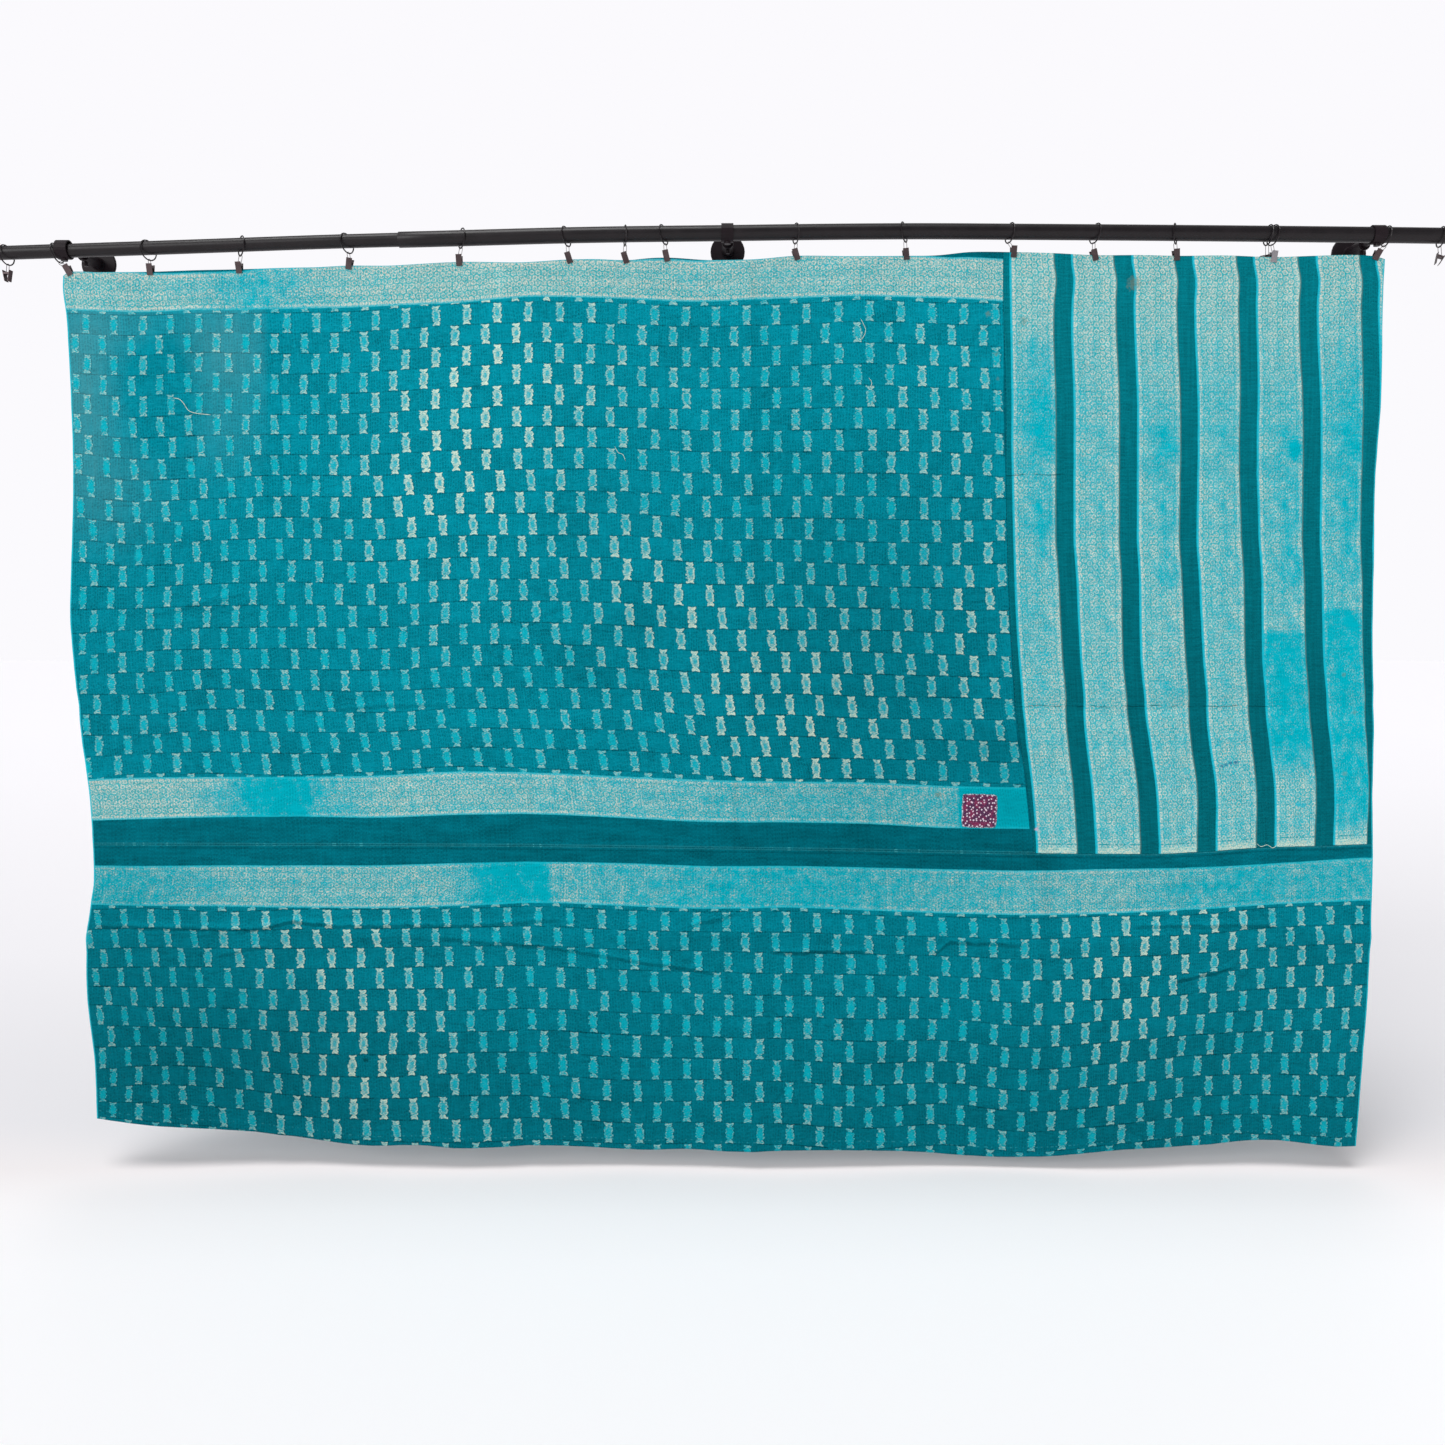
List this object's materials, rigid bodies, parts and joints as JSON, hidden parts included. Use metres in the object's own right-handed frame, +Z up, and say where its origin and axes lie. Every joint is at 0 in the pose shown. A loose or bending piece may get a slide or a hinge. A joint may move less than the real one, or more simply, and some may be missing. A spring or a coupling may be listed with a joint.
{
  "type": "pieced quilt clipped to a curtain rod",
  "caption": "Stitched pieced cotton throw hung flat and sideways by clip rings from a telescoping rod on round wall brackets, as a wall hanging or curtain.",
  "frame": {"origin": "middle of the middle wall plate's back face, on the wall plane", "axes": "+X along the rod to the viewer's right, +Y into the wall, +Z up; the cloth faces -Y"},
  "size_m": [2.4592, 0.1275, 1.6092],
  "materials": {
    "figured_cloth": "soft worn cotton, teal with small cyan and cream woven figures",
    "striped_cloth": "soft worn cotton, pale brocade with dark teal stripes",
    "lower_cloth": "soft worn cotton, dark band, pale brocade band and figured teal field",
    "printed_patch": "printed cotton, maroon with pale flecks",
    "rod_black": "satin near-black paint",
    "bracket_black": "satin near-black paint",
    "ring_black": "near-black painted wire",
    "clip_bronzed": "dark bronzed sheet with bright worn edges",
    "clip_bright": "bare silvery-grey sheet"
  },
  "bodies": {
    "root": {"bracket_left_plate": "bracket_black", "bracket_left_post": "bracket_black", "bracket_left_saddle": "bracket_black", "bracket_left_screw": "bracket_black", "bracket_middle_plate": "bracket_black", "bracket_middle_post": "bracket_black", "bracket_middle_saddle": "bracket_black", "bracket_middle_screw": "bracket_black", "bracket_right_plate": "bracket_black", "bracket_right_post": "bracket_black", "bracket_right_saddle": "bracket_black", "bracket_right_screw": "bracket_black", "clip_01": "clip_bronzed", "clip_02": "clip_bronzed", "clip_03": "clip_bronzed", "clip_04": "clip_bronzed", "clip_05": "clip_bronzed", "clip_06": "clip_bronzed", "clip_07": "clip_bronzed", "clip_08": "clip_bronzed", "clip_09": "clip_bronzed", "clip_10": "clip_bronzed", "clip_11": "clip_bronzed", "clip_12": "clip_bronzed", "clip_13": "clip_bronzed", "clip_14": "clip_bronzed", "clip_15": "clip_bronzed", "clip_16": "clip_bright", "clip_17": "clip_bronzed", "clip_18": "clip_bronzed", "quilt_lower_panel": "lower_cloth", "quilt_main_panel": "figured_cloth", "quilt_patch": "printed_patch", "quilt_striped_panel": "striped_cloth", "ring_01": "ring_black", "ring_02": "ring_black", "ring_03": "ring_black", "ring_04": "ring_black", "ring_05": "ring_black", "ring_06": "ring_black", "ring_07": "ring_black", "ring_08": "ring_black", "ring_09": "ring_black", "ring_10": "ring_black", "ring_11": "ring_black", "ring_12": "ring_black", "ring_13": "ring_black", "ring_14": "ring_black", "ring_15": "ring_black", "ring_16": "ring_black", "ring_17": "ring_black", "ring_18": "ring_black", "rod_cap_left": "rod_black", "rod_cap_right": "rod_black", "rod_inner_tube": "rod_black", "rod_outer_tube": "rod_black"}
  },
  "joints": []
}
